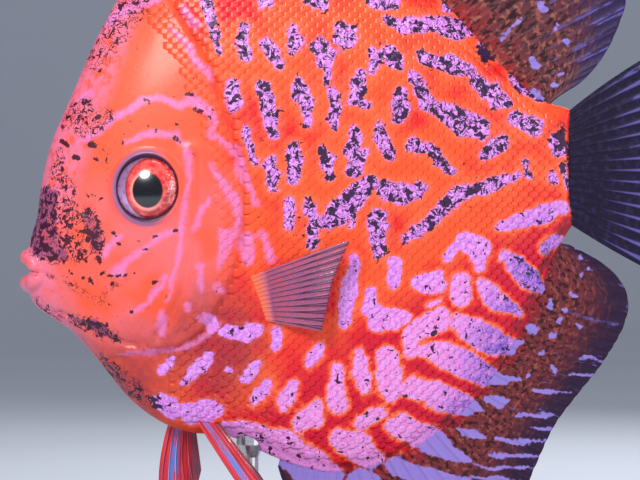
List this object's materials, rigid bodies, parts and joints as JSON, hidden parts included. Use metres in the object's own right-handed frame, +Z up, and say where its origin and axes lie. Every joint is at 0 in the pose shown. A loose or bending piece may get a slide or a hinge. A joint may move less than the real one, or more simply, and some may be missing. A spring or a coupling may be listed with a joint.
{
  "type": "discus fish",
  "caption": "Life-size still model of an adult discus, orange with lilac spots and dark fins, on a stand with an oval base and a steel rod.",
  "frame": {"origin": "middle of the base's flat underside, which is what the model rests on", "axes": "+Z up; the fish's nose points to -X, its tail to +X and its left side to -Y; its middle plane is y = 0"},
  "size_m": [0.1612, 0.074, 0.1902],
  "materials": {
    "skin": "wet gloss",
    "fin": "satin",
    "clear_fin": "satin",
    "eye": "clear gloss",
    "stand_base": "satin varnish",
    "stand_rod": "brushed"
  },
  "bodies": {
    "root": {"head": "skin", "trunk": "skin", "tail_stalk": "skin", "eye_left": "eye", "eye_right": "eye", "pectoral_fin_left": "clear_fin", "pectoral_fin_right": "clear_fin", "dorsal_fin_front": "fin", "dorsal_fin_rear": "fin", "anal_fin_front": "fin", "anal_fin_rear": "fin", "tail_fin": "fin", "pelvic_fin_left": "fin", "pelvic_fin_right": "fin", "stand_base": "stand_base", "stand_rod": "stand_rod"}
  },
  "joints": []
}
